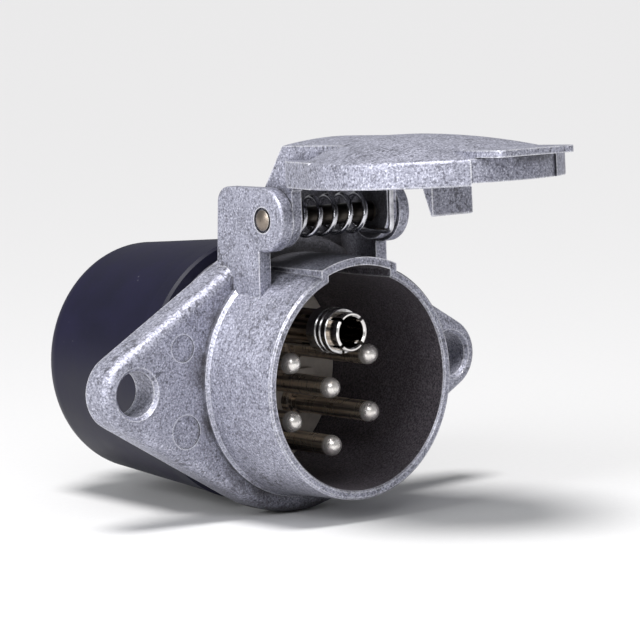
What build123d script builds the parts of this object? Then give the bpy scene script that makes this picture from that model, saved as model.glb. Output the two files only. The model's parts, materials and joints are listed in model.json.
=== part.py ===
from build123d import *
from math import sin, cos, radians, sqrt
import os

# 7-pole round trailer socket with a sprung lid.
# Origin: barrel axis on the flange's mounting face. -Y front (mouth), +X right, +Z up.
# Units mm. The lid is stored open.

# --- barrel and bore ---
MOUTH_Y = -25.7          # rim plane
RIM_R = 23.05            # barrel outside at the rim
BASE_R = 23.75           # barrel outside at the flange (casting draft)
COLLAR_R = 24.3          # raised foot of the barrel on the flange
COLLAR_Y = -7.7
BORE_R = 21.25
KEY_HALF_W = 7.85        # keyway at 12 o'clock
KEY_R = 22.7
KEY_WALL = 1.6
KEY_END_Y = -9.0

# --- flange ---
FLANGE_T = 6.5
FLANGE_R = 27.6
EAR_R = 7.5
HOLE_X = 40.0
HOLE_R = 4.45
FLANGE_ROUND = 2.2

# --- rear spigot and carrier seat ---
SPIGOT_R = 24.0
SPIGOT_END = 16.0
SEAT_Y = 9.2
SEAT_R = 22.05
RING_Y = 12.9            # retaining ring groove starts here
RING_T = 1.2
RING_GROOVE_R = 22.95

# --- hinge ---
HINGE_Y = -16.25
HINGE_Z = 32.1
KNUCKLE_R = 6.2
EAR_OUT_X = 16.2
EAR_IN_X = 13.4
EAR_TOP_Z = 38.2
NECK_Y = -15.0
EAR_BACK_Y = -1.6
PIN_R = 2.0
WEB_FRONT_Y = -4.4

# --- contacts ---
CENTRE_X = -0.1
CENTRE_Z = -1.92
CIRCLE_R = 11.42
CONTACT_R = 2.05
TIP_Y = -15.95           # centre of the domed tip
FACE_Y = 8.2             # front face of the insulating carrier
GROOVE_Y = 4.6           # undercut in front of the collar
COLLAR_FRONT_Y = 6.3
COLLAR_PIN_R = 2.8
COUNTER_Y = 8.7          # collar seats this deep in the carrier
STUB_R = 1.6
STUB_END_Y = 18.0
TUBE_R = 3.85
TUBE_BORE_R = 3.05
TUBE_TIP_Y = -23.1
TUBE_FLOOR_Y = -7.0
TUBE_SLOT = 12.0
TUBE_SHANK_R = 2.6
SLEEVE_TIP_Y = -20.3
SLEEVE_END_Y = -14.5
SLEEVE_R = 4.5

# --- insulating carrier and wire terminals ---
CARRIER_STEP_Y = 9.85
CARRIER_BACK_Y = 13.4
TERMINAL_R = 3.0
TERMINAL_END_Y = 27.0
WIRE_HOLE_R = 1.6
WIRE_FLOOR_Y = 19.5
SCREW_Y = 23.2
SCREW_R = 1.1

# --- lid, in its own frame: s forward from the hinge axis, h above it ---
LID_TILT = 2.0           # degrees, front up, in the stored open pose
LID_R = 24.6
LID_WALL = 1.0
SKIRT_H = 6.4
FRONT_SKIRT_H = 6.9      # the skirt is cut higher under the finger lip
PLATE_H = 10.4
EDGE_H = 11.4
CROWN_H = 15.4
BRIDGE_H = 15.3
CROWN_FLAT = 4.0         # radius of the level middle of the crown
CROWN_S = 24.0           # the crown's peak lies nearer to the hinge than the middle
LUG_OUT_X = 13.2
LUG_IN_X = 10.8
LUG_R = 5.6
LIP_HALF_W = 9.4
LIP_S = 61.1
LIP_TOP_H = 12.8
LIP_T = 1.3
HOOK_HALF_W = 5.0
HOOK_S = 36.9            # front face of the plug hook
HOOK_TIP_H = 0.3
RECESS_W = 21.2
SEAL_H = 9.7

# --- torsion spring ---
WIRE_R = 0.55
COIL_R = 3.6
COIL_X0 = -9.5
COIL_X1 = 9.6
TURNS = 5
LEG_BEND = 1.4
LEG_S = 8.4              # where the front leg meets the lid

# --- boot ---
BOOT_FRONT_Y = 8.0
BOOT_BACK_Y = 49.0
BOOT_R0 = 26.5
BOOT_R1 = 23.7
OUTLET_R = 8.0
OUTLET_BORE_R = 4.5
OUTLET_END_Y = 57.0

os.makedirs("parts", exist_ok=True)


def save(part, name):
    """Label one piece and write it to its own STEP file."""
    part.label = name
    export_step(part, f"parts/{name}.step")


# Section plane for turned pieces: local x runs along world Y, local y is the radius.
TURN = Plane.YZ


# ------------------------------------------------------------------ housing
with BuildPart() as housing:
    # diamond flange with rounded front edges
    with BuildSketch(Plane.XZ):
        Circle(FLANGE_R)
        with Locations((-HOLE_X, 0), (HOLE_X, 0)):
            Circle(EAR_R)
        make_hull()
    extrude(amount=FLANGE_T)
    fillet(housing.faces().sort_by(Axis.Y)[0].edges(), FLANGE_ROUND)
    # mould ejector marks beside the barrel
    with BuildSketch(Plane.XZ.offset(FLANGE_T)):
        with Locations((-28.8, 7.8), (28.8, 7.8)):
            Circle(2.7)
        with Locations((-28.5, -8.5), (28.5, -8.5)):
            Circle(3.3)
    extrude(amount=-0.25, mode=Mode.SUBTRACT)
    # barrel, foot collar and rear spigot
    with BuildSketch(TURN):
        with BuildLine():
            Polyline(
                (SPIGOT_END, 0),
                (SPIGOT_END, SPIGOT_R - 0.8),
                (SPIGOT_END - 0.8, SPIGOT_R),
                (0, SPIGOT_R),
                (-FLANGE_T + 0.5, COLLAR_R),
                (COLLAR_Y + 0.3, COLLAR_R),
            )
            Polyline(
                (COLLAR_Y + 0.3, COLLAR_R),
                (COLLAR_Y, BASE_R + 0.25),
                (COLLAR_Y - 0.4, BASE_R),
                (MOUTH_Y + 0.4, RIM_R),
                (MOUTH_Y, RIM_R - 0.4),
                (MOUTH_Y, 0),
                (SPIGOT_END, 0),
            )
        make_face()
    revolve(axis=Axis.Y)
    # outside of the keyway, running back along the top of the barrel
    with BuildSketch(Plane.XZ.offset(1.6)):
        Circle(KEY_R + KEY_WALL)
        with Locations((0, 24)):
            Rectangle(2 * (KEY_HALF_W + KEY_WALL), 14, mode=Mode.INTERSECT)
    extrude(amount=-MOUTH_Y - 1.6)
    # hinge ears
    for inner in (-EAR_OUT_X, EAR_IN_X):
        with BuildSketch(Plane.YZ.offset(inner)):
            with BuildLine():
                Line((EAR_BACK_Y + 0.6, 14), (EAR_BACK_Y - 0.6, EAR_TOP_Z - 3.2))
                ThreePointArc(
                    (EAR_BACK_Y - 0.6, EAR_TOP_Z - 3.2),
                    (EAR_BACK_Y - 1.6, EAR_TOP_Z - 0.9),
                    (EAR_BACK_Y - 4.0, EAR_TOP_Z),
                )
                Line((EAR_BACK_Y - 4.0, EAR_TOP_Z), (HINGE_Y, HINGE_Z + KNUCKLE_R))
                ThreePointArc(
                    (HINGE_Y, HINGE_Z + KNUCKLE_R),
                    (HINGE_Y - KNUCKLE_R, HINGE_Z),
                    (HINGE_Y, HINGE_Z - KNUCKLE_R),
                )
                Polyline(
                    (HINGE_Y, HINGE_Z - KNUCKLE_R),
                    (NECK_Y, HINGE_Z - KNUCKLE_R),
                    (NECK_Y, 14),
                    (EAR_BACK_Y + 0.6, 14),
                )
            make_face()
        extrude(amount=EAR_OUT_X - EAR_IN_X)
    # rear web joining the ears: closes the back of the hinge and stops the lid
    with BuildSketch(Plane.XY.offset(18)):
        with Locations((0, (WEB_FRONT_Y + EAR_BACK_Y) / 2)):
            Rectangle(2 * EAR_IN_X + 1, EAR_BACK_Y - WEB_FRONT_Y)
    extrude(amount=EAR_TOP_Z - 1.2 - 18)
    for outside in (-EAR_OUT_X, EAR_OUT_X):
        fillet(
            housing.edges()
            .filter_by(Axis.X, reverse=True)
            .filter_by_position(Axis.X, outside - 0.01, outside + 0.01)
            .filter_by_position(Axis.Z, 26.5, 45),
            0.6,
        )
    # main bore, carrier seat and retaining ring groove
    with BuildSketch(TURN):
        with BuildLine():
            Polyline(
                (SPIGOT_END + 1, 0),
                (SPIGOT_END + 1, SEAT_R),
                (RING_Y + RING_T + 0.06, SEAT_R),
                (RING_Y + RING_T + 0.06, RING_GROOVE_R),
                (RING_Y, RING_GROOVE_R),
                (RING_Y, SEAT_R),
                (SEAT_Y, SEAT_R),
                (SEAT_Y, BORE_R),
                (MOUTH_Y + 0.35, BORE_R),
                (MOUTH_Y, BORE_R + 0.35),
                (MOUTH_Y - 1, BORE_R + 0.35),
                (MOUTH_Y - 1, 0),
                (SPIGOT_END + 1, 0),
            )
        make_face()
    revolve(axis=Axis.Y, mode=Mode.SUBTRACT)
    # keyway slot inside the mouth
    with BuildSketch(Plane.XZ.offset(-KEY_END_Y)):
        Circle(KEY_R)
        with Locations((0, 20)):
            Rectangle(2 * KEY_HALF_W, 12, mode=Mode.INTERSECT)
    extrude(amount=-MOUTH_Y + KEY_END_Y + 1, mode=Mode.SUBTRACT)
    # hinge pin holes, with a shallow counterbore outside
    with BuildSketch(Plane.YZ.offset(-EAR_OUT_X - 1)):
        with Locations((HINGE_Y, HINGE_Z)):
            Circle(PIN_R)
    extrude(amount=2 * EAR_OUT_X + 2, mode=Mode.SUBTRACT)
    for face in (-EAR_OUT_X, EAR_OUT_X - 0.6):
        with BuildSketch(Plane.YZ.offset(face)):
            with Locations((HINGE_Y, HINGE_Z)):
                Circle(PIN_R + 0.5)
        extrude(amount=0.6, mode=Mode.SUBTRACT)
    # hole in the web for the spring's rear leg
    with BuildSketch(Plane.XZ.offset(-EAR_BACK_Y - 1)):
        with Locations((COIL_X0, HINGE_Z - COIL_R)):
            Circle(WIRE_R + 0.15)
    extrude(amount=-WEB_FRONT_Y + EAR_BACK_Y + 2, mode=Mode.SUBTRACT)
    # flange bolt holes with a countersunk front edge
    for side in (-1, 1):
        with BuildSketch(Plane.XZ):
            with Locations((side * HOLE_X, 0)):
                Circle(HOLE_R)
        extrude(amount=FLANGE_T, mode=Mode.SUBTRACT)
        with BuildSketch(Plane.XZ.offset(FLANGE_T - 0.7)):
            with Locations((side * HOLE_X, 0)):
                Circle(HOLE_R)
        extrude(amount=0.7, taper=-45, mode=Mode.SUBTRACT)

# ------------------------------------------------------------------ lid
TILT = radians(LID_TILT)
LID = Plane(
    origin=(0, HINGE_Y, HINGE_Z),
    x_dir=(1, 0, 0),
    z_dir=(0, sin(TILT), cos(TILT)),
)                         # local x = X, local y = -s, local z = h
LID_SIDE = Plane(
    origin=(0, HINGE_Y, HINGE_Z),
    x_dir=(0, -cos(TILT), sin(TILT)),
    z_dir=(-1, 0, 0),
)                         # local x = s, local y = h, extrudes towards -X


def lid_point(x, s, h):
    """World point for a place in the lid's own frame."""
    return LID.from_local_coords(Vector(x, -s, h))


LID_AXIS = Axis(lid_point(0, HINGE_Z, 0), LID.z_dir)
LID_TURN = Plane(origin=lid_point(0, HINGE_Z, 0), x_dir=(1, 0, 0), z_dir=-LID.y_dir)
ROUND = 0.7

with BuildPart() as lid:
    # shoulders that run from the lugs out to the round skirt
    with BuildSketch(LID.offset(SKIRT_H)):
        with BuildLine():
            Polyline(
                (-LUG_OUT_X, -4.2), (-17.2, -9.2), (-22.76, -22.77), (-20.5, -30),
                (20.5, -30), (22.76, -22.77), (17.2, -9.2), (LUG_OUT_X, -4.2),
                (-LUG_OUT_X, -4.2),
            )
        make_face()
    extrude(amount=EDGE_H - SKIRT_H)
    # round cap
    with BuildSketch(LID_TURN):
        with BuildLine():
            Polyline(
                (0, SKIRT_H), (LID_R - 0.2, SKIRT_H), (LID_R, SKIRT_H + 0.2),
                (LID_R, EDGE_H - ROUND),
            )
            ThreePointArc(
                (LID_R, EDGE_H - ROUND),
                (LID_R - 0.3 * ROUND, EDGE_H - 0.3 * ROUND),
                (LID_R - ROUND, EDGE_H),
            )
            Polyline((LID_R - ROUND, EDGE_H), (0, EDGE_H), (0, SKIRT_H))
        make_face()
    revolve(axis=LID_AXIS)
    # raised bridge over the hinge, with its slanted back
    with BuildSketch(LID_SIDE.offset(-LUG_OUT_X)):
        with BuildLine():
            Polyline(
                (4.37, 15.5), (-2.6, 5.4), (6, 5.4), (6, SKIRT_H),
                (22, SKIRT_H), (22, 15.5), (4.37, 15.5),
            )
        make_face()
    extrude(amount=2 * LUG_OUT_X)
    # the bridge's top is arched from side to side
    with BuildSketch(LID_TURN.offset(-3 - HINGE_Z)):
        with BuildLine():
            ThreePointArc((-LUG_OUT_X - 1, 13.93), (0, BRIDGE_H), (LUG_OUT_X + 1, 13.93))
            Polyline(
                (LUG_OUT_X + 1, 13.93), (LUG_OUT_X + 1, 17), (-LUG_OUT_X - 1, 17),
                (-LUG_OUT_X - 1, 13.93),
            )
        make_face()
    extrude(amount=26, mode=Mode.SUBTRACT)
    # crown, a skewed dome
    for height, middle, radius in (
        (EDGE_H, HINGE_Z, LID_R - ROUND), (14.2, 28.0, 13.5), (CROWN_H, CROWN_S, CROWN_FLAT),
    ):
        with BuildSketch(LID.offset(height)):
            with Locations((0, -middle)):
                Circle(radius)
    loft()
    # finger lip
    with BuildSketch(LID.offset(LIP_TOP_H - LIP_T)):
        with Locations((0, -(LIP_S + 42) / 2)):
            RectangleRounded(2 * LIP_HALF_W, LIP_S - 42, 1.5)
    extrude(amount=LIP_T)
    # hollow under the cap, up to the plate
    with BuildSketch(LID_TURN):
        with BuildLine():
            Polyline(
                (0, 0), (LID_R - LID_WALL, 0), (LID_R - LID_WALL, PLATE_H),
                (0, PLATE_H), (0, 0),
            )
        make_face()
    revolve(axis=LID_AXIS, mode=Mode.SUBTRACT)
    # hollow between the lugs, open at the back for the spring
    with BuildSketch(LID_SIDE.offset(-LUG_IN_X)):
        with BuildLine():
            Polyline(
                (4.6, 12.0), (-0.2, 5.0), (-8, 5.0), (-8, -2),
                (11, -2), (11, 12.0), (4.6, 12.0),
            )
        make_face()
    extrude(amount=2 * LUG_IN_X, mode=Mode.SUBTRACT)
    # clearance inside the shoulders
    for side in (-1, 1):
        with BuildSketch(LID.offset(SKIRT_H - 1)):
            with BuildLine():
                Polyline(
                    (side * 14.7, -8.2), (side * 16.4, -10.2), (side * 22.6, -25.5),
                    (side * 14.7, -25.5), (side * 14.7, -8.2),
                )
            make_face()
        extrude(amount=PLATE_H - SKIRT_H + 1, mode=Mode.SUBTRACT)
    # lugs round the hinge pin
    for plane in (LID_SIDE.offset(LUG_IN_X), LID_SIDE.offset(-LUG_OUT_X)):
        with BuildSketch(plane):
            Circle(LUG_R)
            with BuildLine():
                Polyline(
                    (LUG_R, 0), (LUG_R, SKIRT_H + 0.3), (10.2, SKIRT_H + 0.3), (10.2, 13.0),
                    (2.6, 13.0), (-4.15, 3.76), (LUG_R, 0),
                )
            make_face()
        extrude(amount=LUG_OUT_X - LUG_IN_X)
    # plug hook
    with BuildSketch(LID_SIDE.offset(-HOOK_HALF_W)):
        with BuildLine():
            Polyline(
                (HOOK_S - 4.7, PLATE_H + 0.5), (HOOK_S - 0.55, HOOK_TIP_H + 0.1),
                (HOOK_S - 0.4, HOOK_TIP_H), (HOOK_S, HOOK_TIP_H + 0.2),
                (HOOK_S, PLATE_H + 0.5), (HOOK_S - 4.7, PLATE_H + 0.5),
            )
        make_face()
    extrude(amount=2 * HOOK_HALF_W)
    # shallow recess in the skirt under the finger lip
    with BuildSketch(LID.offset(SKIRT_H)):
        with Locations((0, -HINGE_Z)):
            Circle(LID_R + 2)
            Circle(LID_R - 0.4, mode=Mode.SUBTRACT)
        with Locations((0, -HINGE_Z - LID_R)):
            Rectangle(RECESS_W, 10, mode=Mode.INTERSECT)
    extrude(amount=LIP_TOP_H - LIP_T - SKIRT_H, mode=Mode.SUBTRACT)
    # the skirt is cut higher from the recess round to the right
    with BuildSketch(LID.offset(SKIRT_H - 1)):
        with Locations((13 - RECESS_W / 4, -53)):
            Rectangle(26 + RECESS_W / 2, 18)
    extrude(amount=FRONT_SKIRT_H - SKIRT_H + 1, mode=Mode.SUBTRACT)
    # hinge pin bore
    with BuildSketch(LID_SIDE.offset(-LUG_OUT_X - 1)):
        Circle(PIN_R + 0.06)
    extrude(amount=2 * LUG_OUT_X + 2, mode=Mode.SUBTRACT)
    # anchor hole for the spring's leg
    with BuildSketch(LID.offset(PLATE_H - 3)):
        with Locations((COIL_X1, -LEG_S)):
            Circle(0.75)
    extrude(amount=5.0, mode=Mode.SUBTRACT)

# ------------------------------------------------------------------ lid seal
with BuildPart() as lid_seal:
    with BuildSketch(LID.offset(SEAL_H)):
        with Locations((0, -HINGE_Z)):
            Circle(LID_R - LID_WALL - 0.1)
        with Locations((0, -HOOK_S + 2.6)):
            Rectangle(2 * HOOK_HALF_W + 0.6, 6.4, mode=Mode.SUBTRACT)
        with Locations((0, -4.6)):
            Rectangle(40, 12, mode=Mode.SUBTRACT)
    extrude(amount=PLATE_H - SEAL_H)

# ------------------------------------------------------------------ hinge pin
HEAD = 0.55
CAP_R = (PIN_R**2 + HEAD**2) / (2 * HEAD)        # sphere radius of the peened ends
cap_mid = sqrt(CAP_R**2 - 1) - (CAP_R - HEAD)    # cap height 1 mm off the axis
with BuildPart() as hinge_pin:
    with BuildSketch(Plane(origin=(0, HINGE_Y, HINGE_Z), x_dir=(1, 0, 0), z_dir=(0, -1, 0))):
        with BuildLine():
            for side in (-1, 1):
                ThreePointArc(
                    (side * (EAR_OUT_X + HEAD), 0),
                    (side * (EAR_OUT_X + cap_mid), 1),
                    (side * EAR_OUT_X, PIN_R),
                )
            Line((-EAR_OUT_X, PIN_R), (EAR_OUT_X, PIN_R))
            Line((EAR_OUT_X + HEAD, 0), (-EAR_OUT_X - HEAD, 0))
        make_face()
    revolve(axis=Axis((0, HINGE_Y, HINGE_Z), (1, 0, 0)))

# ------------------------------------------------------------------ torsion spring
COIL_LOW_Z = HINGE_Z - COIL_R
leg_y = HINGE_Y - LEG_S * cos(TILT) + 11.0 * sin(TILT)
leg_top = HINGE_Z + 12.1
coil_frame = Plane(origin=(COIL_X0, HINGE_Y, HINGE_Z), x_dir=(0, 0, -1), z_dir=(1, 0, 0))
coil_path = coil_frame * Helix(
    pitch=(COIL_X1 - COIL_X0) / TURNS,
    height=COIL_X1 - COIL_X0,
    radius=COIL_R,
    lefthand=True,
)

with BuildPart() as torsion_spring:
    with BuildSketch(Plane(origin=coil_path @ 0, z_dir=coil_path % 0)):
        Circle(WIRE_R)
    sweep(path=coil_path, is_frenet=True)
    # rear leg, through the web
    with BuildSketch(Plane.XZ.offset(-HINGE_Y)):
        with Locations((COIL_X0, COIL_LOW_Z)):
            Circle(WIRE_R)
    extrude(amount=-(EAR_BACK_Y - HINGE_Y + 0.6))
    # front leg, along under the coil and up into the lid
    with BuildLine():
        FilletPolyline(
            (COIL_X1, HINGE_Y, COIL_LOW_Z),
            (COIL_X1, leg_y, COIL_LOW_Z),
            (COIL_X1, leg_y, leg_top),
            radius=LEG_BEND,
        )
    with BuildSketch(Plane.XZ.offset(-HINGE_Y)):
        with Locations((COIL_X1, COIL_LOW_Z)):
            Circle(WIRE_R)
    sweep()
    with Locations((COIL_X0, HINGE_Y, COIL_LOW_Z), (COIL_X1, HINGE_Y, COIL_LOW_Z)):
        Sphere(WIRE_R)

# ------------------------------------------------------------------ contacts
ANGLES = (30, -30, -90, -150, 150)
SEATS = [(CENTRE_X, CENTRE_Z)] + [
    (CENTRE_X + CIRCLE_R * cos(radians(a)), CENTRE_Z + CIRCLE_R * sin(radians(a)))
    for a in ANGLES
]
TUBE_SEAT = (CENTRE_X, CENTRE_Z + CIRCLE_R)
SCREW_TURN = [-60] + list(ANGLES) + [90]     # direction each clamp screw points
ALL_SEATS = SEATS + [TUBE_SEAT]


def seat_plane(seat):
    """Turning plane on a contact's axis: local x runs along Y, local y is the radius."""
    return Plane(origin=(seat[0], 0, seat[1]), x_dir=(0, 1, 0), z_dir=(1, 0, 0))


def seat_axis(seat):
    """Axis of one contact, running back along +Y."""
    return Axis((seat[0], 0, seat[1]), (0, 1, 0))


NECK_R = 1.7
contact_pins = []
for seat in SEATS:
    with BuildPart() as contact_pin:
        with BuildSketch(seat_plane(seat)):
            with BuildLine():
                ThreePointArc(
                    (TIP_Y - CONTACT_R, 0),
                    (TIP_Y - CONTACT_R * cos(radians(45)), CONTACT_R * sin(radians(45))),
                    (TIP_Y, CONTACT_R),
                )
                Polyline(
                    (TIP_Y, CONTACT_R), (GROOVE_Y, CONTACT_R), (GROOVE_Y, NECK_R),
                    (COLLAR_FRONT_Y, NECK_R), (COLLAR_FRONT_Y, COLLAR_PIN_R - 0.2),
                    (COLLAR_FRONT_Y + 0.2, COLLAR_PIN_R), (COUNTER_Y, COLLAR_PIN_R),
                    (COUNTER_Y, STUB_R), (STUB_END_Y - 0.3, STUB_R),
                    (STUB_END_Y, STUB_R - 0.3), (STUB_END_Y, 0), (TIP_Y - CONTACT_R, 0),
                )
            make_face()
        revolve(axis=seat_axis(seat))
    contact_pins.append(contact_pin)

with BuildPart() as tube_contact:
    with BuildSketch(seat_plane(TUBE_SEAT)):
        with BuildLine():
            Polyline(
                (TUBE_FLOOR_Y, 0), (TUBE_FLOOR_Y, TUBE_BORE_R), (TUBE_TIP_Y + 0.3, TUBE_BORE_R),
                (TUBE_TIP_Y, TUBE_BORE_R + 0.3), (TUBE_TIP_Y, TUBE_R - 0.2),
                (TUBE_TIP_Y + 0.2, TUBE_R), (TUBE_FLOOR_Y + 2, TUBE_R),
                (TUBE_FLOOR_Y + 3, TUBE_SHANK_R), (GROOVE_Y, TUBE_SHANK_R), (GROOVE_Y, NECK_R),
                (COLLAR_FRONT_Y, NECK_R), (COLLAR_FRONT_Y, COLLAR_PIN_R), (COUNTER_Y, COLLAR_PIN_R),
                (COUNTER_Y, STUB_R), (STUB_END_Y - 0.3, STUB_R),
                (STUB_END_Y, STUB_R - 0.3), (STUB_END_Y, 0), (TUBE_FLOOR_Y, 0),
            )
        make_face()
    revolve(axis=seat_axis(TUBE_SEAT))
    # four slots make the mouth springy
    with BuildSketch(Plane.XZ.offset(-TUBE_TIP_Y - TUBE_SLOT)):
        with Locations(TUBE_SEAT):
            for turn in (45, -45):
                Rectangle(12, 0.75, rotation=turn)
    extrude(amount=TUBE_SLOT + 1, mode=Mode.SUBTRACT)

with BuildPart() as tube_sleeve:
    with BuildSketch(seat_plane(TUBE_SEAT)):
        with BuildLine():
            Polyline(
                (SLEEVE_TIP_Y, TUBE_R + 0.02), (SLEEVE_TIP_Y, SLEEVE_R - 0.15),
                (SLEEVE_TIP_Y + 0.15, SLEEVE_R), (SLEEVE_END_Y, SLEEVE_R),
                (SLEEVE_END_Y, TUBE_R + 0.02), (SLEEVE_TIP_Y, TUBE_R + 0.02),
            )
        make_face()
    revolve(axis=seat_axis(TUBE_SEAT))
    # grip grooves and the open seam
    with BuildSketch(seat_plane(TUBE_SEAT)):
        for y in (-18.6, -17.2):
            with Locations((y, SLEEVE_R)):
                Rectangle(0.5, 0.4)
    revolve(axis=seat_axis(TUBE_SEAT), mode=Mode.SUBTRACT)
    with BuildSketch(Plane.XZ.offset(-SLEEVE_END_Y - 1)):
        with Locations((TUBE_SEAT[0], TUBE_SEAT[1] - SLEEVE_R)):
            Rectangle(0.7, 2.5)
    extrude(amount=SLEEVE_END_Y - SLEEVE_TIP_Y + 2, mode=Mode.SUBTRACT)

# ------------------------------------------------------------------ insulating carrier
with BuildPart() as contact_carrier:
    with BuildSketch(TURN):
        with BuildLine():
            Polyline(
                (FACE_Y, 0), (FACE_Y, BORE_R - 0.35), (FACE_Y + 0.3, BORE_R - 0.05),
                (CARRIER_STEP_Y, BORE_R - 0.05), (CARRIER_STEP_Y, SEAT_R - 0.1),
                (RING_Y - 0.02, SEAT_R - 0.1), (RING_Y - 0.02, 18.0), (CARRIER_BACK_Y, 18.0),
                (CARRIER_BACK_Y, 0), (FACE_Y, 0),
            )
        make_face()
    revolve(axis=Axis.Y)
    # seats for the contacts
    with BuildSketch(Plane.XZ.offset(-CARRIER_BACK_Y - 1)):
        with Locations(*ALL_SEATS):
            Circle(STUB_R + 0.02)
    extrude(amount=CARRIER_BACK_Y - FACE_Y + 2, mode=Mode.SUBTRACT)
    with BuildSketch(Plane.XZ.offset(-COUNTER_Y)):
        with Locations(*ALL_SEATS):
            Circle(COLLAR_PIN_R + 0.02)
    extrude(amount=COUNTER_Y - FACE_Y + 1, mode=Mode.SUBTRACT)
    # moulded ribs between the contacts
    with BuildSketch(Plane.XZ.offset(-FACE_Y)):
        with Locations((CENTRE_X, CENTRE_Z)):
            for turn in range(6):
                angle = 60 * turn
                with Locations((11.0 * cos(radians(angle)), 11.0 * sin(radians(angle)))):
                    Rectangle(7.0, 1.6, rotation=angle)
    extrude(amount=1.4)

with BuildPart() as carrier_gasket:
    with BuildSketch(Plane.XZ.offset(-CARRIER_STEP_Y)):
        Circle(SEAT_R - 0.1)
        Circle(BORE_R, mode=Mode.SUBTRACT)
    extrude(amount=CARRIER_STEP_Y - SEAT_Y)

with BuildPart() as retaining_ring:
    with BuildSketch(Plane.XZ.offset(-RING_Y - RING_T)):
        Circle(RING_GROOVE_R - 0.1)
        Circle(20.4, mode=Mode.SUBTRACT)
        with Locations((-4.2, -20.6), (4.2, -20.6)):
            Circle(1.9)
        with Locations((0, -21)):
            Rectangle(5.0, 8, mode=Mode.SUBTRACT)
        with Locations((-4.4, -20.3), (4.4, -20.3)):
            Circle(0.8, mode=Mode.SUBTRACT)
    extrude(amount=RING_T)

# ------------------------------------------------------------------ wire terminals
terminals = []
for seat, turn in zip(ALL_SEATS, SCREW_TURN):
    reach = (cos(radians(turn)), 0, sin(radians(turn)))
    with BuildPart() as terminal:
        with BuildSketch(seat_plane(seat)):
            with BuildLine():
                Polyline(
                    (CARRIER_BACK_Y, STUB_R + 0.02), (CARRIER_BACK_Y, TERMINAL_R - 0.3),
                    (CARRIER_BACK_Y + 0.3, TERMINAL_R), (TERMINAL_END_Y - 0.3, TERMINAL_R),
                    (TERMINAL_END_Y, TERMINAL_R - 0.3), (TERMINAL_END_Y, WIRE_HOLE_R + 0.3),
                    (TERMINAL_END_Y - 0.3, WIRE_HOLE_R), (WIRE_FLOOR_Y, WIRE_HOLE_R),
                    (WIRE_FLOOR_Y, 0), (STUB_END_Y + 0.1, 0), (STUB_END_Y + 0.1, STUB_R + 0.02),
                    (CARRIER_BACK_Y, STUB_R + 0.02),
                )
            make_face()
        revolve(axis=seat_axis(seat))
        with BuildSketch(Plane(origin=(seat[0], SCREW_Y, seat[1]), z_dir=reach)):
            Circle(SCREW_R)
        extrude(amount=TERMINAL_R + 1, mode=Mode.SUBTRACT)
    terminals.append(terminal)

with BuildPart() as terminal_screws:
    for seat, turn in zip(ALL_SEATS, SCREW_TURN):
        reach = Vector(cos(radians(turn)), 0, sin(radians(turn)))
        place = Vector(seat[0], SCREW_Y, seat[1])
        with BuildSketch(Plane(origin=place + reach * 0.6, z_dir=reach)):
            Circle(SCREW_R - 0.02)
        extrude(amount=TERMINAL_R - 0.3)
        top = TERMINAL_R + 0.3
        with BuildSketch(Plane(origin=place + reach * (top - 0.7), x_dir=(0, 1, 0), z_dir=reach)):
            Rectangle(4, 0.4)
        extrude(amount=1.0, mode=Mode.SUBTRACT)

# ------------------------------------------------------------------ rubber boot
CORNER = 6.0
with BuildPart() as rear_boot:
    with BuildSketch(TURN):
        with BuildLine():
            Polyline(
                (BOOT_FRONT_Y, SPIGOT_R + 0.02), (BOOT_FRONT_Y, BOOT_R0 - 0.5),
                (BOOT_FRONT_Y + 0.5, BOOT_R0), (BOOT_FRONT_Y + 5, BOOT_R0 - 0.5),
                (BOOT_BACK_Y - CORNER, BOOT_R1),
            )
            ThreePointArc(
                (BOOT_BACK_Y - CORNER, BOOT_R1),
                (BOOT_BACK_Y - 0.33 * CORNER, BOOT_R1 - 0.26 * CORNER),
                (BOOT_BACK_Y, BOOT_R1 - CORNER),
            )
            Line((BOOT_BACK_Y, BOOT_R1 - CORNER), (BOOT_BACK_Y, OUTLET_R + 1.5))
            ThreePointArc(
                (BOOT_BACK_Y, OUTLET_R + 1.5),
                (BOOT_BACK_Y + 0.44, OUTLET_R + 0.44),
                (BOOT_BACK_Y + 1.5, OUTLET_R),
            )
            Polyline(
                (BOOT_BACK_Y + 1.5, OUTLET_R), (OUTLET_END_Y - 0.5, OUTLET_R - 0.5),
                (OUTLET_END_Y, OUTLET_R - 1.0), (OUTLET_END_Y, OUTLET_BORE_R),
                (BOOT_BACK_Y - 2.0, OUTLET_BORE_R), (BOOT_BACK_Y - 2.0, BOOT_R1 - CORNER),
                (BOOT_BACK_Y - CORNER, BOOT_R1 - 2.0), (SPIGOT_END + 1.5, SPIGOT_R - 0.5),
                (SPIGOT_END + 0.2, SPIGOT_R + 0.02), (BOOT_FRONT_Y, SPIGOT_R + 0.02),
            )
        make_face()
    revolve(axis=Axis.Y)

# ------------------------------------------------------------------ STEP files
save(housing.part, "housing")
save(lid.part, "lid")
save(lid_seal.part, "lid_seal")
save(hinge_pin.part, "hinge_pin")
save(torsion_spring.part, "torsion_spring")
save(contact_carrier.part, "contact_carrier")
save(carrier_gasket.part, "carrier_gasket")
save(retaining_ring.part, "retaining_ring")
for number, contact_pin in enumerate(contact_pins, 1):
    save(contact_pin.part, f"contact_pin_{number}")
save(tube_contact.part, "tube_contact")
save(tube_sleeve.part, "tube_sleeve")
for number, terminal in enumerate(terminals, 1):
    save(terminal.part, f"terminal_{number}")
save(terminal_screws.part, "terminal_screws")
save(rear_boot.part, "rear_boot")
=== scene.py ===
"""Looks of the trailer socket: materials, the wound spring, floor, light and camera."""

import json
import math

import bmesh
import bpy
from mathutils import Matrix, Vector


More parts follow.
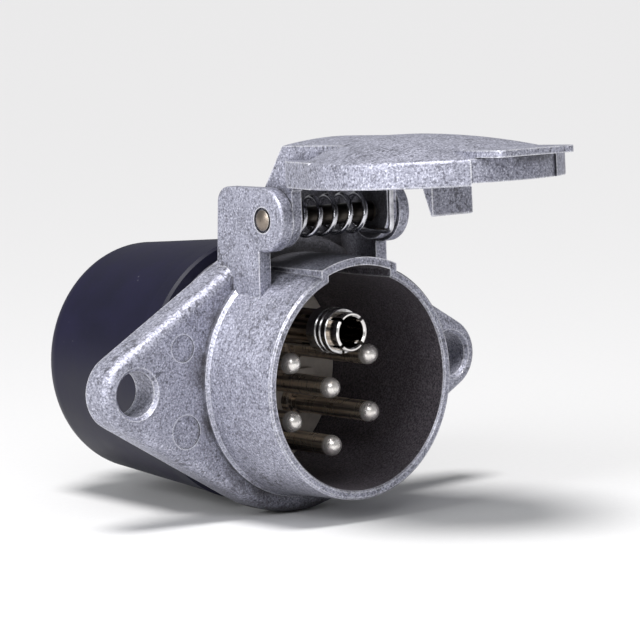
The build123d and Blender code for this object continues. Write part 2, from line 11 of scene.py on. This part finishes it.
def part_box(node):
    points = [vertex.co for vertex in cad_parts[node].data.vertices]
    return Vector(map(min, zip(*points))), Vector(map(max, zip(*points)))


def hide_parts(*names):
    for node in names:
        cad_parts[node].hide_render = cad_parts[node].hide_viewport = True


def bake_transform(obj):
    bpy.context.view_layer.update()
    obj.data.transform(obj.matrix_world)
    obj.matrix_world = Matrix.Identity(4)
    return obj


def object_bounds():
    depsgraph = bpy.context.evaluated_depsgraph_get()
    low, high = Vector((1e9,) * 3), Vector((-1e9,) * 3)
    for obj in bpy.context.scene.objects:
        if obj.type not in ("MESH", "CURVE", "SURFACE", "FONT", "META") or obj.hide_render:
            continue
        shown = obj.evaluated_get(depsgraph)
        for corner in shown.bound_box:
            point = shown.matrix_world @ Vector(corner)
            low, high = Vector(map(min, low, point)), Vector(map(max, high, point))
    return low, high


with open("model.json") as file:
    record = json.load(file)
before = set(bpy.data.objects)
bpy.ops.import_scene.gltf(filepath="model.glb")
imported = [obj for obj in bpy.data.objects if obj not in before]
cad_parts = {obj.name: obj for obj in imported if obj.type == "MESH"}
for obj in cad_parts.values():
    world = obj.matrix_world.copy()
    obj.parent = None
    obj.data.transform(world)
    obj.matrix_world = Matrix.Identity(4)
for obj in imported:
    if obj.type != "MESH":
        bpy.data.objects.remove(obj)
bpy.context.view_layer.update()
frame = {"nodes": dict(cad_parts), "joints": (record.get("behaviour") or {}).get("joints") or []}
MM = 0.001
hinge = next(j for j in frame["joints"] if j["name"] == "lid_hinge")
AXIS = Vector(hinge["pos_m"])    # a point on the hinge's line, which runs along X


# ------------------------------------------------------------------ node helpers
MIX_A, MIX_B, MIX_RESULT = 6, 7, 2        # the colour sockets of a Mix node, by index


class Tree:
    """A material's node tree, with short calls for the nodes used here."""

    def __init__(self, name):
        self.material = bpy.data.materials.new(name)
        self.material.use_nodes = True
        self.nodes = self.material.node_tree.nodes
        self.links = self.material.node_tree.links
        self.shader = self.nodes["Principled BSDF"]
        self.coord = self.nodes.new("ShaderNodeTexCoord")

    def put(self, socket, value):
        """Links a node's output to a socket, or sets the socket to a plain value."""
        if isinstance(value, bpy.types.NodeSocket):
            self.links.new(value, socket)
        else:
            socket.default_value = value

    def add(self, kind, inputs=None, **settings):
        """A new node: inputs are its sockets by name, settings its properties."""
        node = self.nodes.new("ShaderNode" + kind)
        for key, value in settings.items():
            setattr(node, key, value)
        for key, value in (inputs or {}).items():
            self.put(node.inputs[key], value)
        return node

    def noise(self, scale, detail=3.0, rough=0.55, vector=None):
        return self.add(
            "TexNoise",
            {"Vector": vector or self.coord.outputs["Object"], "Scale": scale,
             "Detail": detail, "Roughness": rough},
        ).outputs["Fac"]

    def cells(self, scale):
        return self.add(
            "TexVoronoi", {"Vector": self.coord.outputs["Object"], "Scale": scale}
        ).outputs["Distance"]

    def math(self, operation, a, b=0.0):
        node = self.add("Math", operation=operation)
        self.put(node.inputs[0], a)
        self.put(node.inputs[1], b)
        return node.outputs[0]

    def span(self, value, low, high, to_low=0.0, to_high=1.0):
        """Maps low..high to to_low..to_high, clamped."""
        return self.add(
            "MapRange",
            {"Value": value, "From Min": low, "From Max": high,
             "To Min": to_low, "To Max": to_high},
        ).outputs["Result"]

    def mix(self, factor, a, b):
        """Colour a where the factor is 0, colour b where it is 1."""
        node = self.add("Mix", data_type="RGBA")
        self.put(node.inputs["Factor"], factor)
        self.put(node.inputs[MIX_A], a)
        self.put(node.inputs[MIX_B], b)
        return node.outputs[MIX_RESULT]

    def bump(self, height, strength, distance, normal=None):
        inputs = {"Height": height, "Strength": strength, "Distance": distance}
        if normal is not None:
            inputs["Normal"] = normal
        return self.add("Bump", inputs).outputs["Normal"]

    def shift(self, location, scale=(1, 1, 1)):
        """The object's own coordinates, scaled and then moved."""
        return self.add(
            "Mapping",
            {"Vector": self.coord.outputs["Object"], "Location": location, "Scale": scale},
        ).outputs["Vector"]

    def edges(self, radius):
        """1 on an edge, falling to 0 one radius away, on outer and inner corners alike."""
        rounded = self.add("Bevel", {"Radius": radius}, samples=6).outputs["Normal"]
        flat = self.add("NewGeometry").outputs["Normal"]
        dot = self.add("VectorMath", operation="DOT_PRODUCT")
        self.put(dot.inputs[0], rounded)
        self.put(dot.inputs[1], flat)
        return self.span(dot.outputs["Value"], 1.0, 0.86)

    def place(self):
        """The object's own X, Y and Z, as three values."""
        split = self.add("SeparateXYZ", {"Vector": self.coord.outputs["Object"]})
        return split.outputs["X"], split.outputs["Y"], split.outputs["Z"]

    def from_axis(self, x, z):
        """Distance from a line that runs along Y through x, z."""
        here = self.place()
        across = self.math("SUBTRACT", here[0], x)
        up = self.math("SUBTRACT", here[2], z)
        return self.math("SQRT", self.math(
            "ADD", self.math("MULTIPLY", across, across), self.math("MULTIPLY", up, up)))

    def all_of(self, *values):
        """The product of the values: 1 only where all of them are."""
        result = values[0]
        for value in values[1:]:
            result = self.math("MULTIPLY", result, value)
        return result

    def facing(self, axis):
        """The part of the surface's own normal that points along X, Y or Z."""
        return self.add("SeparateXYZ", {"Vector": self.coord.outputs["Normal"]}).outputs[axis]

    def open_air(self, distance):
        """1 on an open face, towards 0 in a corner or a pocket."""
        return self.add("AmbientOcclusion", {"Distance": distance}, samples=8).outputs["AO"]

    def finish(self, colour, rough, normal, metallic, **sockets):
        """Fills the shader and gives the material. Other sockets are named with _ for a space."""
        self.put(self.shader.inputs["Base Color"], colour)
        self.put(self.shader.inputs["Roughness"], rough)
        self.put(self.shader.inputs["Normal"], normal)
        self.shader.inputs["Metallic"].default_value = metallic
        for key, value in sockets.items():
            self.shader.inputs[key.replace("_", " ")].default_value = value
        return self.material


def rgb(red, green, blue):
    return (red, green, blue, 1.0)


# ------------------------------------------------------------------ materials
# Where a mark fades in: each pair runs from none of it to all of it.
FOOT_Y = (-7.3 * MM, -6.9 * MM)           # the flange's front face
FOOT_RADIUS = (29.5 * MM, 24.6 * MM)      # round the barrel's foot
KEYWAY_RADIUS = (23.1 * MM, 22.9 * MM)
KEYWAY_X = (8.0 * MM, 7.8 * MM)
KEYWAY_Z = (19 * MM, 20 * MM)
BORE_RADIUS = (21.6 * MM, 21.4 * MM)
INSIDE_Y = (-25.6 * MM, -25.2 * MM)       # behind the barrel's rim
BETWEEN_EARS_X = (13.7 * MM, 13.3 * MM)
ABOVE_BARREL_Z = (21.0 * MM, 23.0 * MM)
WEB_FRONT_Y = (-3.9 * MM, -4.3 * MM)      # the web behind the spring
GREASE_AND_SHADE_FRONT_Y = (-17.0 * MM, -13.0 * MM)
GREASE_AND_SHADE_RAGGED = 5 * MM                    # how far its front edge wanders
BETWEEN_LUGS_X = (10.95 * MM, 10.85 * MM)
HOLLOW_Y = (-27.9 * MM, -27.5 * MM)       # the lid's hinge end
HOLLOW_Z = (45.0 * MM, 44.7 * MM)
# Near-black: painted shade, and lubricant, by the hinge and between the lid's lugs.
GREASE_AND_SHADE = rgb(0.030, 0.028, 0.028)


def weather_and_shade_socket(t, tone, grain, mottle):
    """Dirt at the barrel's foot, a darker tone all round the bore, and a near-black patch by the
    hinge, partly lubricant and partly painted shade.

    None of it depends on which way a face points, but the patch by the hinge is painted shade all
    the same.
    """
    x, y, z = t.place()
    radius = t.from_axis(0.0, 0.0)
    foot = t.all_of(
        t.span(y, *FOOT_Y), t.span(radius, *FOOT_RADIUS),
        t.span(t.noise(160, 4, 0.7), 0.42, 0.60))
    tone = t.mix(t.math("MULTIPLY", foot, 0.6), tone, rgb(0.050, 0.044, 0.046))
    # Darker all round inside the bore and keyway, behind the rim.
    keyway = t.all_of(
        t.span(radius, *KEYWAY_RADIUS), t.span(t.math("ABSOLUTE", x), *KEYWAY_X),
        t.span(z, *KEYWAY_Z))
    bore = t.span(radius, *BORE_RADIUS)
    inside = t.math("MULTIPLY", t.math("MAXIMUM", bore, keyway), t.span(y, *INSIDE_Y))
    bore_tone = t.mix(t.span(grain, 0.40, 0.64), rgb(0.060, 0.052, 0.062), rgb(0.20, 0.18, 0.205))
    tone = t.mix(inside, tone, bore_tone)
    # Painted shade and lubricant: near-black between the ears behind the spring and under the lid,
    # with a ragged front edge.
    ragged = t.math("ADD", y, t.math("MULTIPLY", mottle, GREASE_AND_SHADE_RAGGED))
    grease_and_shade_mask = t.all_of(
        t.span(t.math("ABSOLUTE", x), *BETWEEN_EARS_X), t.span(z, *ABOVE_BARREL_Z),
        t.span(y, *WEB_FRONT_Y), t.span(ragged, *GREASE_AND_SHADE_FRONT_Y))
    return t.mix(t.math("MULTIPLY", grease_and_shade_mask, 0.75), tone, GREASE_AND_SHADE)


def grease_and_shade_lid(t, tone):
    """Grease and painted shade in the hollow between the lid's lugs, and on the outer slope over
    it.

    The mark is a plain box, so on that slope it shows as a patch with straight edges.
    """
    x, y, z = t.place()
    # Painted shade and lubricant: near-black in a box round the hollow between the lugs.
    hollow = t.all_of(
        t.span(t.math("ABSOLUTE", x), *BETWEEN_LUGS_X), t.span(y, *HOLLOW_Y),
        t.span(z, *HOLLOW_Z))
    return t.mix(t.math("MULTIPLY", hollow, 0.7), tone, GREASE_AND_SHADE)


def cast_aluminium(name, rings_y=None):
    """Die-cast alloy: mottled lavender grey, speckled, with pits, patchy dirt and rubbed edges,
    and painted shade in corners, creases and pockets.

    rings_y: on the lid, the Y of the middle of the fine rings on its level top.
    Without it, the casting is the socket.
    """
    t = Tree(name)
    grain = t.noise(2600, 3, 0.65)
    speck = t.noise(1250, 2, 0.5)
    mottle = t.noise(210, 4, 0.65)
    cloud = t.noise(45, 3, 0.55)
    pits = t.all_of(t.span(t.cells(620), 0.22, 0.08), t.span(t.noise(130, 2), 0.50, 0.60))
    blotch = t.all_of(t.span(t.noise(780, 3, 0.7), 0.55, 0.60), t.span(t.noise(62, 3), 0.50, 0.60))

    tone = t.mix(t.span(mottle, 0.3, 0.7), rgb(0.30, 0.305, 0.37), rgb(0.47, 0.475, 0.57))
    tone = t.mix(t.span(cloud, 0.35, 0.65, 0.0, 0.45), tone, rgb(0.33, 0.335, 0.41))
    tone = t.mix(t.span(speck, 0.48, 0.30, 0.0, 0.75), tone, rgb(0.13, 0.13, 0.16))
    tone = t.mix(t.span(grain, 0.50, 0.34, 0.0, 0.85), tone, rgb(0.09, 0.09, 0.12))
    tone = t.mix(t.span(grain, 0.56, 0.67, 0.0, 0.75), tone, rgb(0.80, 0.81, 0.92))
    tone = t.mix(t.math("MULTIPLY", pits, 0.85), tone, rgb(0.05, 0.05, 0.06))
    tone = t.mix(t.math("MULTIPLY", blotch, 0.7), tone, rgb(0.07, 0.07, 0.085))

    near = t.open_air(2.5 * MM)
    deep = t.open_air(26 * MM)
    edge = t.edges(0.5 * MM)
    rubbed = t.edges(2.4 * MM)
    worn = t.all_of(edge, t.span(near, 0.60, 0.82), t.span(t.noise(900, 2), 0.25, 0.50))
    # Patchy dirt held to corners and creases, where it is also painted shade.
    grime_and_corner_shade = t.math("MULTIPLY", t.span(t.noise(75, 4, 0.7), 0.44, 0.60), t.span(near, 0.98, 0.72))
    tone = t.mix(t.math("MULTIPLY", grime_and_corner_shade, 0.7), tone, rgb(0.06, 0.06, 0.07))
    # Painted shade: near-black in corners and creases, and darker deep in pockets and inside the
    # bore.
    tone = t.mix(t.span(near, 0.75, 0.25, 0.0, 0.7), tone, rgb(0.05, 0.05, 0.06))
    tone = t.mix(t.span(deep, 0.42, 0.10, 0.0, 0.45), tone, rgb(0.050, 0.046, 0.050))
    if rings_y is None:
        tone = weather_and_shade_socket(t, tone, grain, mottle)
    else:
        tone = grease_and_shade_lid(t, tone)
    tone = t.mix(worn, tone, rgb(0.90, 0.905, 0.96))

    rough = t.span(t.math("ADD", mottle, grain), 0.7, 1.3, 0.44, 0.62)
    rough = t.math("SUBTRACT", rough, t.math("MULTIPLY", worn, 0.18))
    rough = t.math("SUBTRACT", rough, t.math("MULTIPLY", rubbed, 0.12))
    normal = t.bump(t.noise(1150, 4, 0.7), 0.5, 0.07 * MM)
    normal = t.bump(mottle, 0.3, 0.2 * MM, normal)
    normal = t.bump(pits, 0.6, -0.10 * MM, normal)
    if rings_y is not None:
        rings = t.add(
            "TexWave",
            {"Vector": t.shift((0, -rings_y, 0)), "Scale": 1500.0, "Distortion": 0.4},
            wave_type="RINGS", rings_direction="Z",
        ).outputs["Fac"]
        level = t.span(t.facing("Z"), 0.93, 0.98)
        normal = t.bump(t.math("MULTIPLY", rings, level), 0.35, 0.02 * MM, normal)
    return t.finish(tone, rough, normal, 0.60)


def rubber(name, colour, bloomed, rough, grain_scale):
    """Moulded rubber with a fine skin, specks of dust and patches of bloom."""
    t = Tree(name)
    skin = t.noise(grain_scale, 3, 0.6)
    bloom = t.noise(60, 4, 0.6)
    tone = t.mix(t.span(bloom, 0.35, 0.75), colour, bloomed)
    dust = t.math("MULTIPLY", t.span(t.cells(420), 0.10, 0.04), t.span(bloom, 0.55, 0.68))
    tone = t.mix(t.math("MULTIPLY", dust, 0.35), tone, rgb(0.25, 0.25, 0.27))
    normal = t.bump(skin, 0.25, 0.03 * MM)
    normal = t.bump(bloom, 0.2, 0.25 * MM, normal)
    wear = t.span(bloom, 0.3, 0.7, rough - 0.05, rough + 0.07)
    return t.finish(tone, wear, normal, 0.0, Specular_IOR_Level=0.3)


def turned_metal(name, light, dark, rough, metallic=1.0, tarnish=0.35, axis_scale=(60, 2400, 60),
                 painted_reflection_y=None, shaded_bore=None, shade_grease_half=None):
    """Bright metal with fine lathe lines and a tarnish that gathers in patches.

    painted_reflection_y: the Y behind which a painted reflection of the dark bore and the tan
    carrier runs, in streaks along Y.
    shaded_bore: X, Z and radius of a deep hole along Y, with painted shade inside.
    shade_grease_half: how far to each side of the middle a cross pin is near-black, painted shade
    with lubricant.
    """
    t = Tree(name)
    lines = t.noise(1.0, 2, 0.5, t.shift((0, 0, 0), axis_scale))
    patch = t.noise(330, 3, 0.6)
    tone = t.mix(t.span(patch, 0.42, 0.72, 0.0, tarnish), light, dark)
    tone = t.mix(t.span(lines, 0.35, 0.65, 0.0, 0.16), tone, dark)
    if painted_reflection_y is not None:
        # Painted reflection: streaks along Y, dark and tan, on the shaft behind that Y.
        streak = t.noise(1.0, 3, 0.6, t.shift((0, 0, 0), (900, 25, 900)))
        brown = t.mix(t.span(streak, 0.42, 0.60), rgb(0.050, 0.032, 0.022), rgb(0.66, 0.54, 0.41))
        behind = t.span(t.place()[1], painted_reflection_y, painted_reflection_y + 0.7 * MM)
        tone = t.mix(t.math("MULTIPLY", behind, 0.9), tone, brown)
    worn = t.edges(0.2 * MM)
    tone = t.mix(t.math("MULTIPLY", worn, 0.6), tone, rgb(0.95, 0.94, 0.92))
    # Painted shade: the inside of the deep hole made dark brownish.
    if shaded_bore is not None:
        x, z, radius = shaded_bore
        hollow = t.span(t.from_axis(x, z), radius + 0.06 * MM, radius + 0.02 * MM)
        tone = t.mix(hollow, tone, rgb(0.060, 0.052, 0.045))
    # Painted shade and lubricant: the cross pin near-black that far each side of its middle,
    # inside the coil.
    if shade_grease_half is not None:
        shade_grease = t.span(t.math("ABSOLUTE", t.place()[0]), shade_grease_half, shade_grease_half - 0.5 * MM)
        tone = t.mix(t.math("MULTIPLY", shade_grease, 0.85), tone, rgb(0.022, 0.020, 0.018))
    spread = t.span(t.math("ADD", lines, patch), 0.7, 1.3, rough - 0.04, rough + 0.09)
    normal = t.bump(lines, 0.18, 0.012 * MM)
    normal = t.bump(t.noise(1700, 2), 0.12, 0.02 * MM, normal)
    return t.finish(tone, spread, normal, metallic)


def moulded_plastic(name, colour, light):
    """Glass-filled insulating plastic: matt, faintly mottled, with pale fibre flecks."""
    t = Tree(name)
    flow = t.noise(240, 4, 0.6, t.shift((0, 0, 0), (1, 0.4, 1)))
    tone = t.mix(t.span(flow, 0.3, 0.7), colour, light)
    fleck = t.math("MULTIPLY", t.span(t.cells(1500), 0.12, 0.04), 0.5)
    tone = t.mix(fleck, tone, rgb(0.50, 0.48, 0.44))
    normal = t.bump(t.noise(1900, 3), 0.25, 0.02 * MM)
    normal = t.bump(flow, 0.2, 0.08 * MM, normal)
    return t.finish(tone, t.span(flow, 0.3, 0.7, 0.42, 0.58), normal, 0.0)


seal_low, seal_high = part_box("lid_seal")
tube_low, tube_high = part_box("tube_contact")
tube_x = (tube_low.x + tube_high.x) / 2
tube_z = (tube_low.z + tube_high.z) / 2
pin_tip_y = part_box("contact_pin_1")[0].y
ALLOY = cast_aluminium("cast_aluminium")
LID_ALLOY = cast_aluminium("cast_aluminium_lid", rings_y=(seal_low.y + seal_high.y) / 2)
BOOT = rubber("boot_rubber", rgb(0.002, 0.002, 0.012), rgb(0.005, 0.004, 0.022), 0.46, 1500)
SEAL = rubber("seal_rubber", rgb(0.016, 0.016, 0.018), rgb(0.030, 0.030, 0.032), 0.62, 2200)
NICKEL = turned_metal(
    "contact_nickel", rgb(0.98, 0.95, 0.92), rgb(0.66, 0.56, 0.48), 0.27, 0.80, tarnish=0.25,
    painted_reflection_y=pin_tip_y + 2.1 * MM)
TUBE_NICKEL = turned_metal(
    "tube_nickel", rgb(0.97, 0.95, 0.93), rgb(0.30, 0.26, 0.24), 0.16,
    painted_reflection_y=tube_low.y + 0.9 * MM, shaded_bore=(tube_x, tube_z, 3.05 * MM))
PIN_STEEL = turned_metal(
    "pin_steel", rgb(0.30, 0.255, 0.215), rgb(0.13, 0.10, 0.08), 0.34,
    axis_scale=(2400, 60, 60), shade_grease_half=10.8 * MM)
WIRE_STEEL = turned_metal(
    "spring_steel", rgb(0.66, 0.66, 0.70), rgb(0.06, 0.06, 0.07), 0.20, tarnish=0.6,
    axis_scale=(900, 300, 300))
SLEEVE_STEEL = turned_metal(
    "sleeve_steel", rgb(0.85, 0.85, 0.86), rgb(0.12, 0.11, 0.11), 0.18, tarnish=0.7)
BRASS = turned_metal(
    "terminal_brass", rgb(0.80, 0.62, 0.30), rgb(0.38, 0.25, 0.10), 0.26)
CARRIER = moulded_plastic("carrier_plastic", rgb(0.34, 0.305, 0.27), rgb(0.54, 0.495, 0.445))

LOOKS = {
    "housing": ALLOY, "lid": LID_ALLOY, "lid_seal": SEAL, "hinge_pin": PIN_STEEL,
    "contact_carrier": CARRIER, "carrier_gasket": SEAL, "retaining_ring": WIRE_STEEL,
    "tube_contact": TUBE_NICKEL, "tube_sleeve": SLEEVE_STEEL, "terminal_screws": PIN_STEEL,
    "rear_boot": BOOT, "torsion_spring": WIRE_STEEL,
}


def look_of(node):
    if node.startswith("contact_pin_"):
        return NICKEL
    if node.startswith("terminal_") and node != "terminal_screws":
        return BRASS
    return LOOKS[node]


for node, obj in frame["nodes"].items():
    obj.data.materials.clear()
    obj.data.materials.append(look_of(node))


# ------------------------------------------------------------------ wound spring
WIRE_R = 0.55 * MM
COIL_R = 3.6 * MM
COIL_X = (-9.5 * MM, 9.6 * MM)   # its two ends
TURNS = 5
STEPS = 48                       # points round one turn
REAR_END_Y = -1.0 * MM           # where the rear leg ends
LEG_RISE = 12.1 * MM             # from the hinge axis up to the front leg's top
LEG_BEND = 1.4 * MM              # radius of the front leg's bend
LEG_ALONG = 8.4 * MM             # the front leg meets the lid this far along it
LEG_ABOVE = 11 * MM              # and this far above the hinge axis
LID_TILT = math.radians(2.0)     # of the lid at rest, front up
REAR_POINTS = 10
FRONT_POINTS = 5
BEND_POINTS = 8
RISE_POINTS = 8
SIDES = 14                       # of the wire's round
DOME_LENGTH = 0.35               # of a wire's end, in wire radii
DOME_SIZE = 0.55                 # its outer ring, in wire radii


def spring_line():
    """Centre line: rear leg, left-handed coil with both ends at the bottom, front leg."""
    low = AXIS.z - COIL_R
    line = [Vector((COIL_X[0], REAR_END_Y + (AXIS.y - REAR_END_Y) * k / REAR_POINTS, low))
            for k in range(REAR_POINTS)]
    count = TURNS * STEPS
    for k in range(count + 1):
        turn = 2 * math.pi * k / STEPS
        line.append(Vector((
            COIL_X[0] + (COIL_X[1] - COIL_X[0]) * k / count,
            AXIS.y - COIL_R * math.sin(turn),
            AXIS.z - COIL_R * math.cos(turn),
        )))
    corner_y = AXIS.y - LEG_ALONG + LEG_ABOVE * math.sin(LID_TILT)
    bend_y = corner_y + LEG_BEND
    for k in range(1, FRONT_POINTS + 1):
        line.append(Vector((COIL_X[1], AXIS.y + (bend_y - AXIS.y) * k / FRONT_POINTS, low)))
    for k in range(1, BEND_POINTS + 1):
        turn = math.pi / 2 * k / BEND_POINTS
        line.append(Vector((
            COIL_X[1], bend_y - LEG_BEND * math.sin(turn),
            low + LEG_BEND * (1 - math.cos(turn)),
        )))
    top = AXIS.z + LEG_RISE
    start = low + LEG_BEND
    for k in range(1, RISE_POINTS + 1):
        line.append(Vector((COIL_X[1], corner_y, start + (top - start) * k / RISE_POINTS)))
    return line


def wire_mesh(name, line, radius, sides):
    """A round wire along a line, with softly domed ends."""
    mesh = bmesh.new()
    tangents = []
    for k in range(len(line)):
        ahead = line[min(k + 1, len(line) - 1)]
        behind = line[max(k - 1, 0)]
        tangents.append((ahead - behind).normalized())
    across = tangents[0].orthogonal().normalized()
    stations = [(line[0] - tangents[0] * radius * DOME_LENGTH, tangents[0], DOME_SIZE)]
    stations += [(point, tangent, 1.0) for point, tangent in zip(line, tangents)]
    stations.append((line[-1] + tangents[-1] * radius * DOME_LENGTH, tangents[-1], DOME_SIZE))
    rings = []
    for centre, tangent, size in stations:
        across = (across - tangent * across.dot(tangent)).normalized()
        other = tangent.cross(across)
        rings.append([
            mesh.verts.new(
                centre + (across * math.cos(turn) + other * math.sin(turn)) * radius * size)
            for turn in (2 * math.pi * i / sides for i in range(sides))
        ])
    for first, second in zip(rings, rings[1:]):
        for i in range(sides):
            after = (i + 1) % sides
            mesh.faces.new((first[i], first[after], second[after], second[i]))
    mesh.faces.new(list(reversed(rings[0])))
    mesh.faces.new(rings[-1])
    for face in mesh.faces:
        face.smooth = len(face.verts) == 4
    bmesh.ops.recalc_face_normals(mesh, faces=mesh.faces)
    data = bpy.data.meshes.new(name)
    mesh.to_mesh(data)
    mesh.free()
    return data


spring_mesh = wire_mesh("wound_spring", spring_line(), WIRE_R, SIDES)
spring = bpy.data.objects.new("wound_spring", spring_mesh)
bpy.context.scene.collection.objects.link(spring)
spring.data.materials.append(WIRE_STEEL)
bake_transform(spring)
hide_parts("torsion_spring")


# ------------------------------------------------------------------ floor, light, camera
FLOOR_SIZE = 20.0                # metres, far past the view
FLOOR_GAP = 0.05 * MM            # between the floor and the lowest point


def floor_mesh(size, z):
    """A level square at height z."""
    mesh = bmesh.new()
    bmesh.ops.create_grid(mesh, x_segments=8, y_segments=8, size=size)
    bmesh.ops.translate(mesh, verts=mesh.verts, vec=(0, 0, z))
    data = bpy.data.meshes.new("floor")
    mesh.to_mesh(data)
    mesh.free()
    return data


floor_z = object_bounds()[0].z - FLOOR_GAP
floor = bpy.data.objects.new("floor", floor_mesh(FLOOR_SIZE, floor_z))
bpy.context.scene.collection.objects.link(floor)
paper = Tree("pale_paper")
fibre = paper.noise(900, 3)
floor.data.materials.append(paper.finish(
    paper.mix(fibre, rgb(0.60, 0.60, 0.605), rgb(0.64, 0.64, 0.645)),
    0.9, paper.bump(fibre, 0.05, 0.05 * MM), 0.0))

world = bpy.data.worlds.new("studio")
bpy.context.scene.world = world
world.use_nodes = True
background = world.node_tree.nodes["Background"]
background.inputs["Color"].default_value = rgb(0.97, 0.98, 1.0)
background.inputs["Strength"].default_value = 0.32


def lamp(name, kind, place, energy, colour, size=None, angle=None):
    """A lamp aimed at the origin: size is an area's sides in metres, angle a sun's in degrees."""
    light = bpy.data.lights.new(name, kind)
    light.energy = energy
    light.color = colour
    if size:
        light.shape = "RECTANGLE"
        light.size, light.size_y = size
    if angle:
        light.angle = math.radians(angle)
    obj = bpy.data.objects.new(name, light)
    bpy.context.scene.collection.objects.link(obj)
    obj.location = Vector(place)
    obj.rotation_mode = "QUATERNION"
    obj.rotation_quaternion = (-Vector(place)).to_track_quat("-Z", "Y")


lamp("key", "SUN", (-0.30, -0.22, 0.93), 3.6, (1.0, 0.99, 0.98), angle=20)
lamp("side", "AREA", (-0.50, -0.05, 0.22), 1.7, (0.98, 0.99, 1.0), size=(0.25, 0.25))
lamp("front", "AREA", (-0.30, -0.42, 0.34), 0.8, (0.98, 0.99, 1.0), size=(0.30, 0.22))

camera_data = bpy.data.cameras.new("camera")
camera_data.sensor_width = 36.0
camera_data.lens = 196.875       # 3500 pixels in the 640-pixel frame
camera_data.clip_start = 0.01
camera_data.clip_end = 60.0
camera = bpy.data.objects.new("camera", camera_data)
bpy.context.scene.collection.objects.link(camera)
# The camera's place, and its axes to the right and forward.
EYE = Vector((-0.435011, -0.539315, 0.086348))
RIGHT = Vector((0.7686, -0.6393, -0.0257)).normalized()
FORWARD = Vector((0.6335, 0.7660, -0.1094)).normalized()
UP = RIGHT.cross(FORWARD).normalized()
camera.matrix_world = Matrix.Translation(EYE) @ Matrix((RIGHT, UP, -FORWARD)).transposed().to_4x4()
bpy.context.scene.camera = camera
bpy.context.scene.view_settings.view_transform = "Standard"
